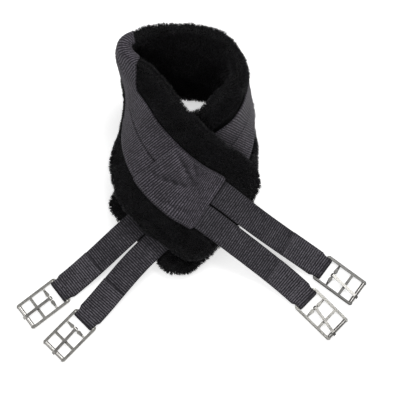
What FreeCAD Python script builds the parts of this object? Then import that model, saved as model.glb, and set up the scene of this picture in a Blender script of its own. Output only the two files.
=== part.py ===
"""Saddle girth lying curled on a flat surface: fleece pad, webbing, four straps and four roller buckles.

Millimetres, +Z up. The girth rests on z = 0. The pad is one long band. Its place and lean are given at a few
stations along its length, and every soft piece is built on the surface that passes through them.
"""

import FreeCAD, Part
import math
import os

Vector = FreeCAD.Vector

# Pad
PAD_WIDTH = 172.0
PAD_THICKNESS = 23.0
END_CORNER_RADIUS = 32.0
BEND_START = 46.0  # from the centreline: inside this the band is flat across
BEND_END = 62.0  # beyond this the border is flat again, turned by its curl
FOAM_THICKNESS = 8.0
FOAM_MARGIN = 15.0
SEWING_GAP = 0.3
SECTIONS_PER_STATION = 4
STATION_LENGTH = 45.0  # about, on average

# Webbing
LANE_WIDTH = 43.0
LANE_GAP = 1.0
WEBBING = 2.2
PATCH_THICKNESS = 1.8
STRAP_WIDTH = 38.0
STRAP_PITCH = 40.0  # between the centres of the two straps at one end
FOLD_BACK = 64.0
PINCH_LENGTH = 13.0
THREAD_WIDTH = 0.9
THREAD_THICKNESS = 0.5
THREAD_GAP = 0.6  # clear of the webbing at the tight bends
CROSS_ROW_GAP = 0.3  # closer, because the pad's own fleece lies just over the under end's cross row
STITCH_INSET = 4.0  # from the webbing's edge to its row of stitching
CLIMB = 24.0  # how far the webbing creeps up the pad at the left bend
CLIMB_SPAN = (5.0, 6.2, 7.0, 8.8)  # stations where the climb starts, is full, eases and ends

# Buckle, measured from the axis of its strap bar
RAIL_START = -5.5
FRAME_END = 62.5
FRAME_WIDTH = 42.0
INNER_WIDTH = 34.0
FRAME_PLATE = 3.6
FRAME_CORNER = 4.5
EDGE_ROUND = 1.1
STRAP_BAR_RADIUS = 2.0
TONGUE_BAR_AT = 17.0
TONGUE_BAR_RADIUS = 1.5
LOBE_RADIUS = 2.9
LOBE_AT = 6.6  # either side of the tongue
LOBE_TAPER = 7.0
MID_BAR_AT = 39.0
MID_BAR_LENGTH = 4.0
PIN_AT = 58.6
PIN_RADIUS = 1.2
ROLLER_RADIUS = 3.1
ROLLER_CLEARANCE = 0.08
TONGUE_WIDTH = 4.2
TONGUE_THICKNESS = 2.4
EYE_WALL = 1.7
EYE_CLEARANCE = 0.1

# Stations of the pad's centreline from the front end to the under end:
# x, y, z, heading of the upper border (degrees from +Y towards +X), its rise above the horizontal,
# and how far the upper and the lower border curl inwards (degrees).
STATIONS = (
    (54, -27, 42, 40, 4, 6, -6),
    (22, -6, 59, 45, 7, 6, -6),
    (-11, 12, 76, 52, 17, 6, -6),
    (-42, 41, 93, 62, 32, 6, -6),
    (-65, 80, 98, 76, 50, 12, -4),
    (-78, 128, 92, 80, 72, 20, 6),
    (-88, 176, 88, -60, 83, 14, 8),
    (-63, 197, 86, -5, 82, 8, 14),
    (-12, 198, 86, 0, 80, 0, 16),
    (41, 187, 86, -15, 82, 0, 16),
    (71, 152, 87, -80, 84, 5, 14),
    (62, 108, 81, -86, 72, 36, 34),
    (35, 66, 59, -72, 36, 24, 44),
    (2, 24, 23.5, -54, 4, 4, 8),
    (-39, -16, 14, -46, 0, 3, 3),
    (-75, -50, 14, -43, 0, 3, 3),
)
LAST = len(STATIONS) - 1
FRONT_SEAM = 1.05  # station where the front webbing ends and its straps come out
UNDER_SEAM = LAST - 1.05
PATCH_LENGTH = 2.1  # in stations

# Buckles: the strap bar's place, the heading of the buckle in degrees, and the tongue's slant
BUCKLES = {
    "front_upper": dict(at=(187, -87), heading=-37, slant=-8),
    "front_lower": dict(at=(162, -132), heading=-45, slant=-11),
    "under_upper": dict(at=(-188, -120), heading=-142, slant=1),
    "under_lower": dict(at=(-152, -162), heading=-134, slant=3),
}


# ---------------------------------------------------------------- the pad's surface


def station_values(station):
    """Centre, upper-border direction and the two curls of one station, as one list of numbers."""
    x, y, z, heading, rise, upper_curl, lower_curl = station
    heading, rise = math.radians(heading), math.radians(rise)
    level = math.cos(rise)
    across = [level * math.sin(heading), level * math.cos(heading), math.sin(rise)]
    return [x, y, z, *across, upper_curl, lower_curl]


VALUES = [station_values(station) for station in STATIONS]


def smooth(values, t):
    """Value and slope at t of the Catmull-Rom curve through a list of equal-length rows."""
    i = min(max(int(math.floor(t)), 0), len(values) - 2)
    u = t - i
    here, there = values[i], values[i + 1]
    before = values[i - 1] if i > 0 else [2 * a - b for a, b in zip(here, there)]
    after = values[i + 2] if i + 2 < len(values) else [2 * b - a for a, b in zip(here, there)]
    value, slope = [], []
    for a, b, c, d in zip(before, here, there, after):
        m0, m1 = (c - a) / 2, (d - b) / 2
        quadratic = 3 * (c - b) - 2 * m0 - m1
        cubic = 2 * (b - c) + m0 + m1
        value.append(b + u * (m0 + u * (quadratic + u * cubic)))
        slope.append(m0 + u * (2 * quadratic + 3 * u * cubic))
    return value, slope


def unit(v):
    return v * (1.0 / v.Length)


def frame_at(t):
    """Centre, tangent, across, outward normal and the two curls in radians at station t."""
    value, slope = smooth(VALUES, t)
    along = unit(Vector(*slope[:3]))
    across = Vector(*value[3:6])
    across = unit(across - along * across.dot(along))
    normal = across.cross(along)
    return Vector(*value[:3]), along, across, normal, math.radians(value[6]), math.radians(value[7])


def pad_point(t, w, n):
    """The point w across and n out from the pad's middle surface at station t."""
    centre, along, across, normal, upper_curl, lower_curl = frame_at(t)
    side = 1 if w > 0 else -1
    curl = upper_curl if w > 0 else lower_curl
    over = abs(w) - BEND_START
    if over <= 0 or abs(curl) < 1e-6:
        return centre + across * w + normal * n
    bend = BEND_END - BEND_START
    turned = curl * min(over / bend, 1)
    radius = bend / curl
    straight = max(over - bend, 0)
    out = BEND_START + radius * math.sin(turned) + straight * math.cos(curl)
    drop = radius * (1 - math.cos(turned)) + straight * math.sin(curl)
    local_normal = normal * math.cos(turned) + across * (side * math.sin(turned))
    return centre + across * (side * out) - normal * drop + local_normal * n


def steps(start, stop, per_station=3):
    """Evenly spaced stations from start to stop."""
    count = max(2, math.ceil(abs(stop - start) * per_station))
    return [start + (stop - start) * k / count for k in range(count + 1)]


PAD_SECTIONS = steps(0.8, LAST - 0.8, SECTIONS_PER_STATION)


def shared_steps(start, stop):
    """The pad's own sections from start to stop, so that pieces laid over each other bend alike."""
    low, high = sorted((start, stop))
    return [low] + [t for t in PAD_SECTIONS if low + 0.1 < t < high - 0.1] + [high]


def ease(t, start, stop):
    """Goes smoothly from 0 at start to 1 at stop."""
    u = min(max((t - start) / (stop - start), 0), 1)
    return u * u * (3 - 2 * u)


def climb(t):
    """How far up the pad the webbing lies at station t."""
    start, full, easing, end = CLIMB_SPAN
    return CLIMB * ease(t, start, full) * (1 - ease(t, easing, end))


def line(a, b):
    return Part.makeLine(a, b)


def curve(points, spacing):
    """A smooth edge through the points, with the same spacing in every section to keep a loft light."""
    places = [0.0]
    for step in spacing:
        places.append(places[-1] + step)
    spline = Part.BSplineCurve()
    spline.interpolate(Points=points, Parameters=places)
    return spline.toShape()


def band(stations, w_low, w_high, n_low, n_high, spans=4):
    """A strip of webbing or thread that follows the pad, its section a bar of that many spans across."""
    wires = []
    for t in stations:
        w_values = [w_low + (w_high - w_low) * k / spans + climb(t) for k in range(spans + 1)]
        under = [pad_point(t, w, n_low) for w in w_values]
        over = [pad_point(t, w, n_high) for w in reversed(w_values)]
        wires.append(Part.makePolygon(under + over + under[:1]))
    return Part.makeLoft(wires, True, False)


# ---------------------------------------------------------------- fleece and foam


def half_width(t):
    """Half the pad's width, which narrows round the corners of both ends."""
    into = STATION_LENGTH * min(t, LAST - t)
    inside = END_CORNER_RADIUS - into
    if inside <= 0:
        return PAD_WIDTH / 2
    inside = min(inside, END_CORNER_RADIUS * 0.93)
    return PAD_WIDTH / 2 - END_CORNER_RADIUS + math.sqrt(END_CORNER_RADIUS**2 - inside**2)


RECESS = PAD_THICKNESS / 2 - WEBBING - 2 * SEWING_GAP
RECESS_HALF = LANE_WIDTH + LANE_GAP / 2 + 0.5
BORDER_SPANS = 3
RIM_SPANS = 6
BORDER_SPACING = (PAD_WIDTH / 2 - PAD_THICKNESS / 2 - RECESS_HALF) / BORDER_SPANS
RIM_SPACING = math.pi * PAD_THICKNESS / 2 / RIM_SPANS
EDGE_SPACING = [BORDER_SPACING] * BORDER_SPANS + [RIM_SPACING] * RIM_SPANS + [BORDER_SPACING] * BORDER_SPANS


def rounded_border(t, side):
    """The edge of the fleece from the webbing's side over the border to the inner face."""
    half = PAD_THICKNESS / 2
    reach = half_width(t) - half
    start = RECESS_HALF + side * climb(t)
    turn = [math.pi * (0.5 - k / RIM_SPANS) for k in range(1, RIM_SPANS)]
    outer = [(start + (reach - start) * k / BORDER_SPANS, half) for k in range(BORDER_SPANS + 1)]
    end = [(reach + half * math.cos(a), half * math.sin(a)) for a in turn]
    inner = [(reach + (RECESS_HALF - reach) * k / BORDER_SPANS, -half) for k in range(BORDER_SPANS + 1)]
    return [pad_point(t, side * w, n) for w, n in outer + end + inner]


def fleece_section(t):
    upper, lower = rounded_border(t, 1), rounded_border(t, -1)
    shift = climb(t)
    w_values = [shift + RECESS_HALF * (k - 3) / 3 for k in range(7)]
    bed = [pad_point(t, w, RECESS) for w in w_values]
    edges = [line(a, b) for a, b in zip(bed, bed[1:])]
    edges += [
        line(bed[-1], upper[0]),
        curve(upper, EDGE_SPACING),
        line(upper[-1], lower[-1]),
        curve(lower[::-1], EDGE_SPACING),
        line(lower[0], bed[0]),
    ]
    return Part.Wire(edges)


def foam_section(t, allowance):
    half = FOAM_THICKNESS / 2 + allowance
    reach = half_width(t) - FOAM_MARGIN + allowance
    flat = BEND_START - 4
    w_values = [flat + (reach - flat) * k / 4 for k in range(5)]

    def side(sign, n):
        return [pad_point(t, sign * w, n) for w in w_values]

    up_out, up_in, low_out, low_in = side(1, half), side(1, -half), side(-1, half), side(-1, -half)
    edges = [
        line(low_out[0], up_out[0]),
        curve(up_out, [1] * 4),
        line(up_out[-1], up_in[-1]),
        curve(up_in[::-1], [1] * 4),
        line(up_in[0], low_in[0]),
        curve(low_in, [1] * 4),
        line(low_in[-1], low_out[-1]),
        curve(low_out[::-1], [1] * 4),
    ]
    return Part.Wire(edges)


def pad_stations(margin):
    """Stations for the pad's sections, closer together round the end corners."""
    near = [margin + (PAD_SECTIONS[0] - margin) * k / 5 for k in range(5)]
    return near + PAD_SECTIONS + [LAST - t for t in reversed(near)]


def foam_core():
    wires = [foam_section(t, 0) for t in pad_stations(0.36)]
    return Part.makeLoft(wires, True, False)


def fleece_cover():
    outer = Part.makeLoft([fleece_section(t) for t in pad_stations(0.0)], True, False)
    room = Part.makeLoft([foam_section(t, SEWING_GAP) for t in pad_stations(0.35)], True, False)
    hollow = Part.makeSolid(Part.makeCompound([outer.Shells[0], room.Shells[0].reversed()]))
    return hollow


# ---------------------------------------------------------------- webbing on the pad

LANE_TOP = RECESS + SEWING_GAP + WEBBING
STRAP_LAYER = LANE_TOP + SEWING_GAP + WEBBING / 2
PATCH_BOTTOM = STRAP_LAYER + WEBBING / 2 + SEWING_GAP


def lane(side):
    inner, outer = LANE_GAP / 2, LANE_GAP / 2 + LANE_WIDTH
    low, high = sorted((side * inner, side * outer))
    return band(shared_steps(FRONT_SEAM, UNDER_SEAM), low, high, RECESS + SEWING_GAP, LANE_TOP)


def patch_span(end):
    """The stations of an end patch: at the seam, and where it stops on the pad."""
    if end == "front":
        return FRONT_SEAM, FRONT_SEAM + PATCH_LENGTH
    return UNDER_SEAM, UNDER_SEAM - PATCH_LENGTH


def end_patch(end):
    half = LANE_WIDTH + LANE_GAP / 2
    return band(shared_steps(*patch_span(end)), -half, half, PATCH_BOTTOM, PATCH_BOTTOM + PATCH_THICKNESS)


# ---------------------------------------------------------------- straps


def buckle_height():
    """Height of the strap bar's axis when the strap's loop lies on the ground."""
    return STRAP_BAR_RADIUS + SEWING_GAP + WEBBING + 0.1


def buckle_tilt():
    """Slope of the frame, which rests on its loop at one end and on its roller at the other."""
    return math.asin((buckle_height() - ROLLER_RADIUS) / PIN_AT)


def loop_half(distance):
    """Half the distance between the strap's two layers, at a distance from the strap bar."""
    wide = STRAP_BAR_RADIUS + SEWING_GAP + WEBBING / 2
    narrow = WEBBING / 2 + SEWING_GAP / 2
    u = min(distance / (PINCH_LENGTH + 3), 1)
    return wide + (narrow - wide) * u * u * (3 - 2 * u)


def strap_frames(name):
    """Middle surface of a strap from its root under the end patch to the strap bar.

    Each row is a point, the direction across the strap, and the outward normal.
    """
    spec = BUCKLES[name]
    end, which = name.split("_")
    side = 1 if which == "upper" else -1
    start, stop = patch_span(end)
    rim = 0.0 if end == "front" else LAST
    level = STRAP_LAYER + WEBBING / 2 + SEWING_GAP / 2
    w = side * STRAP_PITCH / 2
    rows = []
    for t in steps(stop, rim, 8):
        centre, along, across, normal, *_ = frame_at(t)
        rows.append((centre + across * w + normal * level, across, normal))
    sense = -1 if end == "front" else 1
    leave = frame_at(rim)[1] * sense
    heading = math.radians(spec["heading"])
    arrive = Vector(math.cos(heading), math.sin(heading), 0)
    left = Vector(-math.sin(heading), math.cos(heading), 0)
    bar = Vector(*spec["at"], buckle_height())
    first, across0, _ = rows[-1]
    across1 = left if across0.dot(left) > 0 else left * -1
    run = (bar - first).Length
    for k in range(1, 17):
        u = k / 16
        point = (
            first * ((1 + 2 * u) * (1 - u) ** 2)
            + leave * (run * u * (1 - u) ** 2)
            + bar * (u * u * (3 - 2 * u))
            + arrive * (run * u * u * (u - 1))
        )
        slope = (
            (bar - first) * (6 * u * (1 - u))
            + leave * (run * (1 - u) * (1 - 3 * u))
            + arrive * (run * u * (3 * u - 2))
        )
        along = unit(slope)
        across = across0 * (1 - u) + across1 * u
        across = unit(across - along * across.dot(along))
        normal = along.cross(across)
        if normal.z < 0:
            normal = normal * -1
        rows.append((point, across, normal))
    return rows


def strap_width(distance):
    """Full width, pinched to pass between the rails of the buckle."""
    pinched = INNER_WIDTH - 0.8
    u = min(max((distance - 7) / (PINCH_LENGTH - 7), 0), 1)
    return pinched + (STRAP_WIDTH - pinched) * u


def strap_rows(name):
    """Point, across, normal and distance from the strap bar along a strap, closer together beside the bar."""
    rows = strap_frames(name)
    bar, across_bar, normal_bar = rows[-1]
    near, across_near, _ = rows[-2]
    for k in range(1, 9):
        u = k / 8
        across = unit(across_near * (1 - u) + across_bar * u)
        rows.insert(-1, (near + (bar - near) * u, across, normal_bar))
    rows.pop()
    distance = 0.0
    measured = []
    for i in range(len(rows) - 1, -1, -1):
        if i < len(rows) - 1:
            distance += (rows[i + 1][0] - rows[i][0]).Length
        measured.insert(0, (*rows[i], distance))
    return measured


def strap_section(point, across, normal, n_middle, width, thickness=WEBBING):
    """A rectangle across a strap, its middle n_middle out from the point."""
    a = across * (width / 2)
    low = point + normal * (n_middle - thickness / 2)
    high = point + normal * (n_middle + thickness / 2)
    corners = [low - a, low + a, high + a, high - a]
    return Part.makePolygon(corners + corners[:1])


def strap(name):
    """One webbing strap: out to the buckle, round the strap bar and back over itself."""
    rows = strap_rows(name)
    bar, across_bar, normal_bar, _ = rows[-1]
    forward = unit(bar - rows[-2][0])
    wires = []
    for point, across, normal, distance in rows:
        # turned over like the rest of the loop, so that every section has its corners in the same order
        wires.append(strap_section(point, across, normal * -1, loop_half(distance), strap_width(distance)))
    for k in range(1, 8):
        angle = -math.pi / 2 + math.pi * k / 8
        spoke = forward * math.cos(angle) + normal_bar * math.sin(angle)
        wires.append(strap_section(bar, across_bar, spoke, loop_half(0), strap_width(0)))
    for point, across, normal, distance in reversed(rows):
        if distance <= FOLD_BACK:
            wires.append(strap_section(point, across, normal, loop_half(distance), strap_width(distance)))
    return Part.makeLoft(wires, True, True)


# ---------------------------------------------------------------- stitching


def thread_row(stations, w_low, w_high, surface, gap=THREAD_GAP):
    """A row of thread that lies on a surface of the pad."""
    return band(stations, w_low, w_high, surface + gap, surface + gap + THREAD_THICKNESS, 1)


def lane_stitching():
    """Thread rows near both edges of each lane, between the two end patches."""
    stations = shared_steps(patch_span("front")[1] + 0.05, patch_span("under")[1] - 0.05)
    rows = []
    for w in (STITCH_INSET, LANE_WIDTH - STITCH_INSET):
        for side in (-1, 1):
            middle = side * (LANE_GAP / 2 + w)
            rows.append(thread_row(stations, middle - THREAD_WIDTH / 2, middle + THREAD_WIDTH / 2, LANE_TOP))
    return Part.makeCompound(rows)


def patch_stitching(end):
    """Two long rows and two cross rows that hold an end patch down."""
    start, stop = sorted(patch_span(end))
    reach = LANE_WIDTH + LANE_GAP / 2 - STITCH_INSET
    surface = PATCH_BOTTOM + PATCH_THICKNESS
    inset = STITCH_INSET / STATION_LENGTH
    half = THREAD_WIDTH / 2 / STATION_LENGTH
    rows = []
    for side in (-1, 1):
        w = side * reach
        stations = shared_steps(start + inset, stop - inset)
        rows.append(thread_row(stations, w - THREAD_WIDTH / 2, w + THREAD_WIDTH / 2, surface))
    for t in (start + inset, stop - inset):
        w = reach - THREAD_WIDTH
        rows.append(thread_row((t - half, t, t + half), -w, w, surface, CROSS_ROW_GAP))
    return Part.makeCompound(rows)


def fold_stitching(name):
    """Two long rows of thread that close a strap's fold-back behind the buckle."""
    rows = [row for row in strap_rows(name) if PINCH_LENGTH + 4 < row[3] < FOLD_BACK - 1]
    solids = []
    for side in (-1, 1):
        wires = []
        for point, across, normal, distance in rows:
            aside = point + across * (side * (STRAP_WIDTH / 2 - STITCH_INSET))
            out = loop_half(distance) + WEBBING / 2 + THREAD_GAP + THREAD_THICKNESS / 2
            wires.append(strap_section(aside, across, normal, out, THREAD_WIDTH, THREAD_THICKNESS))
        solids.append(Part.makeLoft(wires, True, True))
    return Part.makeCompound(solids)


# ---------------------------------------------------------------- buckle pieces, in the buckle's own axes
# x runs from the strap bar to the roller, y across, z up. The origin is the strap bar's axis.


def rounded_plate(x0, x1, half_y, radius, z0, z1):
    """A plate with round corners and softened upper and lower edges."""
    plate = Part.makeBox(x1 - x0, 2 * half_y, z1 - z0, Vector(x0, -half_y, z0))
    edges = [e for e in plate.Edges if abs(e.Vertexes[0].Z - e.Vertexes[-1].Z) > 0.5]
    plate = plate.makeFillet(radius, edges)
    level = [e for e in plate.Edges if abs(e.BoundBox.ZMax - e.BoundBox.ZMin) < 1e-6]
    return plate.makeFillet(EDGE_ROUND, level)


def across_rod(x, z, radius, half_y):
    return Part.makeCylinder(radius, 2 * half_y, Vector(x, -half_y, z), Vector(0, 1, 0))


def buckle_frame():
    half_plate = FRAME_PLATE / 2
    inner = INNER_WIDTH / 2
    frame = rounded_plate(RAIL_START, FRAME_END, FRAME_WIDTH / 2, FRAME_CORNER, -half_plate, half_plate)
    below, above = -half_plate - 1, half_plate + 1
    bars = ((0.0, STRAP_BAR_RADIUS), (TONGUE_BAR_AT, TONGUE_BAR_RADIUS), (MID_BAR_AT, MID_BAR_LENGTH / 2))
    starts = [RAIL_START - 5] + [x + r for x, r in bars]
    stops = [x - r for x, r in bars] + [FRAME_END + 5]
    for x0, x1 in zip(starts, stops):
        frame = frame.cut(Part.makeBox(x1 - x0, 2 * inner, above - below, Vector(x0, -inner, below)))
    # round strap bar and tongue bar in place of their square stock
    for x, radius in bars[:2]:
        square = Part.makeBox(2 * radius + 0.4, 2 * inner, above - below)
        square.translate(Vector(x - radius - 0.2, -inner, below))
        frame = frame.cut(square).fuse(across_rod(x, 0, radius, inner + 1.5))
    # the tongue bar swells into two pear-shaped lobes that taper out towards the rails
    for side in (-1, 1):
        outwards = Vector(0, side, 0)
        widest = Vector(TONGUE_BAR_AT, side * LOBE_AT, 0)
        foot = widest + outwards * 0.8
        taper = Part.makeCone(LOBE_RADIUS * 0.96, TONGUE_BAR_RADIUS, LOBE_TAPER, foot, outwards)
        lobe = Part.makeSphere(LOBE_RADIUS, widest).fuse(taper)
        stock = Part.makeBox(2 * LOBE_RADIUS, FRAME_WIDTH, FRAME_PLATE)
        stock.translate(Vector(TONGUE_BAR_AT - LOBE_RADIUS, -FRAME_WIDTH / 2, -half_plate))
        frame = frame.fuse(lobe.common(stock))
    # a seat for the tongue in the mid bar
    seat_depth = 0.8
    seat_width = TONGUE_WIDTH + 6
    seat = Part.makeBox(MID_BAR_LENGTH + 1, seat_width, seat_depth + 1)
    seat.translate(Vector(MID_BAR_AT - (MID_BAR_LENGTH + 1) / 2, -seat_width / 2 - 1, half_plate - seat_depth))
    frame = frame.cut(seat)
    # sockets for the roller's pin
    frame = frame.cut(across_rod(PIN_AT, 0, PIN_RADIUS, FRAME_WIDTH))
    return frame.removeSplitter()


def roller_pin():
    pin = across_rod(PIN_AT, 0, PIN_RADIUS - 0.01, FRAME_WIDTH / 2)
    return pin


def roller():
    length = INNER_WIDTH / 2 - 0.4
    tube = across_rod(PIN_AT, 0, ROLLER_RADIUS, length)
    return tube.cut(across_rod(PIN_AT, 0, PIN_RADIUS + ROLLER_CLEARANCE, length + 1))


def tongue(slant):
    """The eye turns on the tongue bar, and the prong lies over the mid bar on the roller."""
    bore = TONGUE_BAR_RADIUS + EYE_CLEARANCE
    eye_radius = bore + EYE_WALL
    half = TONGUE_WIDTH / 2
    eye = across_rod(TONGUE_BAR_AT, 0, eye_radius, half)
    rest = ROLLER_RADIUS + 0.3
    tip = PIN_AT + ROLLER_RADIUS + 1.5
    t = TONGUE_THICKNESS
    over_bar = FRAME_PLATE / 2 + 0.1
    lower = [(TONGUE_BAR_AT, 0.9), (MID_BAR_AT, over_bar), (PIN_AT - 4, rest), (PIN_AT + 1.5, rest), (tip, rest - 0.9)]
    upper = [(tip, rest + 0.2), (PIN_AT, rest + t * 0.9), (MID_BAR_AT, over_bar + t), (TONGUE_BAR_AT, eye_radius)]
    outline = [Vector(x, -half, z) for x, z in lower + upper]
    prong = Part.Face(Part.makePolygon(outline + outline[:1])).extrude(Vector(0, 2 * half, 0))
    slope = math.tan(math.radians(abs(slant)))
    shear = FreeCAD.Matrix()
    shear.A21 = math.copysign(slope, slant)
    shear.A24 = -math.copysign(slope, slant) * TONGUE_BAR_AT
    prong = prong.transformGeometry(shear)
    body = eye.fuse(prong)
    return body.cut(across_rod(TONGUE_BAR_AT, 0, bore, 20)).removeSplitter()


def buckle_placement(name):
    spec = BUCKLES[name]
    tilt = FreeCAD.Rotation(Vector(0, 1, 0), math.degrees(buckle_tilt()))
    turn = FreeCAD.Rotation(Vector(0, 0, 1), spec["heading"])
    return FreeCAD.Placement(Vector(*spec["at"], buckle_height()), turn.multiply(tilt))


def placed(shape, name):
    shape = shape.copy()
    shape.Placement = buckle_placement(name).multiply(shape.Placement)
    return shape


# ---------------------------------------------------------------- all the pieces


def pieces():
    yield "fleece_cover", fleece_cover()
    yield "foam_core", foam_core()
    yield "lane_upper", lane(1)
    yield "lane_lower", lane(-1)
    yield "end_patch_front", end_patch("front")
    yield "end_patch_under", end_patch("under")
    yield "lane_stitching", lane_stitching()
    yield "patch_stitching_front", patch_stitching("front")
    yield "patch_stitching_under", patch_stitching("under")
    for name in BUCKLES:
        yield f"strap_{name}", strap(name)
        yield f"fold_stitching_{name}", fold_stitching(name)
    for name, spec in BUCKLES.items():
        yield f"buckle_frame_{name}", placed(buckle_frame(), name)
        yield f"roller_pin_{name}", placed(roller_pin(), name)
        yield f"roller_{name}", placed(roller(), name)
        yield f"tongue_{name}", placed(tongue(spec["slant"]), name)


os.makedirs("parts", exist_ok=True)
for node, shape in pieces():
    box = shape.BoundBox
    print(f"{node}: {len(shape.Solids)} solids, {shape.Volume:.0f} mm3, valid {shape.isValid()}", end=", ")
    print(f"z {box.ZMin:.1f} to {box.ZMax:.1f}")
    shape.exportStep(f"parts/{node}.step")
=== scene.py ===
"""The saddle girth's looks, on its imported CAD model: plush fleece, ribbed webbing, thread and metal."""

import math

import bpy
import numpy as np
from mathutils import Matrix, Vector
from mathutils.bvhtree import BVHTree
from mathutils.kdtree import KDTree


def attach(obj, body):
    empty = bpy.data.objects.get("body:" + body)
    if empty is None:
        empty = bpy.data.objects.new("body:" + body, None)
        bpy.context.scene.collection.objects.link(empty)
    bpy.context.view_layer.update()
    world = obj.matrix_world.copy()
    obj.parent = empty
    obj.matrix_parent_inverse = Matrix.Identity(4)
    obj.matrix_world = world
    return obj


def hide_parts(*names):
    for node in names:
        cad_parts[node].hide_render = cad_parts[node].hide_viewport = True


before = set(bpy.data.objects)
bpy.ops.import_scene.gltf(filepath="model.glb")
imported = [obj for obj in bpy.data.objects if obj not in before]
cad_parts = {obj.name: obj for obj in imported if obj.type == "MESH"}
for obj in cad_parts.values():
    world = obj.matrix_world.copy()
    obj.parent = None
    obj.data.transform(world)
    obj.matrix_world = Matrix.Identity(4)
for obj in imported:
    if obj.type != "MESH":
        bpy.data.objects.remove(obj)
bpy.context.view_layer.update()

MM = 0.001

# The pad's stations, as in the part's source: x, y, z of the centreline in millimetres, then the heading of
# the upper border, its rise, and the curl of the upper and the lower border, in degrees.
STATIONS = (
    (54, -27, 42, 40, 4, 6, -6),
    (22, -6, 59, 45, 7, 6, -6),
    (-11, 12, 76, 52, 17, 6, -6),
    (-42, 41, 93, 62, 32, 6, -6),
    (-65, 80, 98, 76, 50, 12, -4),
    (-78, 128, 92, 80, 72, 20, 6),
    (-88, 176, 88, -60, 83, 14, 8),
    (-63, 197, 86, -5, 82, 8, 14),
    (-12, 198, 86, 0, 80, 0, 16),
    (41, 187, 86, -15, 82, 0, 16),
    (71, 152, 87, -80, 84, 5, 14),
    (62, 108, 81, -86, 72, 36, 34),
    (35, 66, 59, -72, 36, 24, 44),
    (2, 24, 23.5, -54, 4, 4, 8),
    (-39, -16, 14, -46, 0, 3, 3),
    (-75, -50, 14, -43, 0, 3, 3),
)
LAST = len(STATIONS) - 1
FRONT_SEAM = 1.05
UNDER_SEAM = LAST - 1.05
PATCH_LENGTH = 2.1

PAD_WIDTH = 172 * MM
PAD_HALF = 11.5 * MM
PAD_REACH = PAD_WIDTH / 2 - PAD_HALF  # where the rounded rim begins
END_CORNER_RADIUS = 32 * MM
BEND_START = 46 * MM
BEND_END = 62 * MM
LANE_WIDTH = 43 * MM
LANE_GAP = 1 * MM
WEBBING = 2.2 * MM
PATCH_THICKNESS = 1.8 * MM
GAP = 0.3 * MM
STRAP_WIDTH = 38 * MM
STRAP_PITCH = 40 * MM
FOLD_BACK = 64 * MM
PINCH_LENGTH = 13 * MM
STRAP_BAR_RADIUS = 2 * MM
INNER_WIDTH = 34 * MM

RECESS = PAD_HALF - WEBBING - 2 * GAP
LANE_TOP = RECESS + GAP + WEBBING
STRAP_LAYER = LANE_TOP + GAP + WEBBING / 2
PATCH_BOTTOM = STRAP_LAYER + WEBBING / 2 + GAP
PATCH_TOP = PATCH_BOTTOM + PATCH_THICKNESS

PAD_RIB_PITCH = 2.9 * MM
STRAP_RIB_PITCH = 3.4 * MM

CLIMB = 60 * MM  # how far the webbing creeps up the pad and over its rim at the left bend
TUCK = math.radians(15)  # how much further the fleece's lower border turns inwards behind the loop
FRONT_STRETCH = 5.5 * MM  # how much further the upper corner of the front end reaches
LEFT_BOW = 1.0 * MM  # how far the webbing stands off the fleece over the left bend
RIGHT_BOW = 3.5 * MM  # and where the pad turns under at the right

BUCKLE_HEADINGS = {"front_upper": -37, "front_lower": -45, "under_upper": -142, "under_lower": -134}
STRAP_BARS = {
    "front_upper": (187, -87, 4.6),
    "front_lower": (162, -132, 4.6),
    "under_upper": (-188, -120, 4.6),
    "under_lower": (-152, -162, 4.6),
}

random = np.random.default_rng(7)


# ---------------------------------------------------------------- the pad's surface


def unit(v):
    return v / np.linalg.norm(v, axis=-1, keepdims=True)


def station_values():
    table = np.array(STATIONS, float)
    heading, rise = np.radians(table[:, 3]), np.radians(table[:, 4])
    level = np.cos(rise)
    across = np.column_stack((level * np.sin(heading), level * np.cos(heading), np.sin(rise)))
    return np.column_stack((table[:, :3] * MM, across, np.radians(table[:, 5:])))


VALUES = station_values()
EXTENDED = np.vstack((2 * VALUES[0] - VALUES[1], VALUES, 2 * VALUES[-1] - VALUES[-2]))


def frame_at(t):
    """Centre, along, across, normal, upper curl and lower curl of the pad at each station t."""
    t = np.atleast_1d(np.asarray(t, float))
    i = np.clip(np.floor(t).astype(int), 0, LAST - 1)
    u = (t - i)[:, None]
    a, b, c, d = EXTENDED[i], EXTENDED[i + 1], EXTENDED[i + 2], EXTENDED[i + 3]
    m0, m1 = (c - a) / 2, (d - b) / 2
    quadratic = 3 * (c - b) - 2 * m0 - m1
    cubic = 2 * (b - c) + m0 + m1
    value = b + u * (m0 + u * (quadratic + u * cubic))
    slope = m0 + u * (2 * quadratic + 3 * u * cubic)
    along = unit(slope[:, :3])
    across = value[:, 3:6]
    across = unit(across - along * np.sum(along * across, axis=1, keepdims=True))
    return value[:, :3], along, across, np.cross(across, along), value[:, 6], value[:, 7]


def smoothstep(x, low, high):
    u = np.clip((x - low) / (high - low), 0, 1)
    return u * u * (3 - 2 * u)


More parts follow.
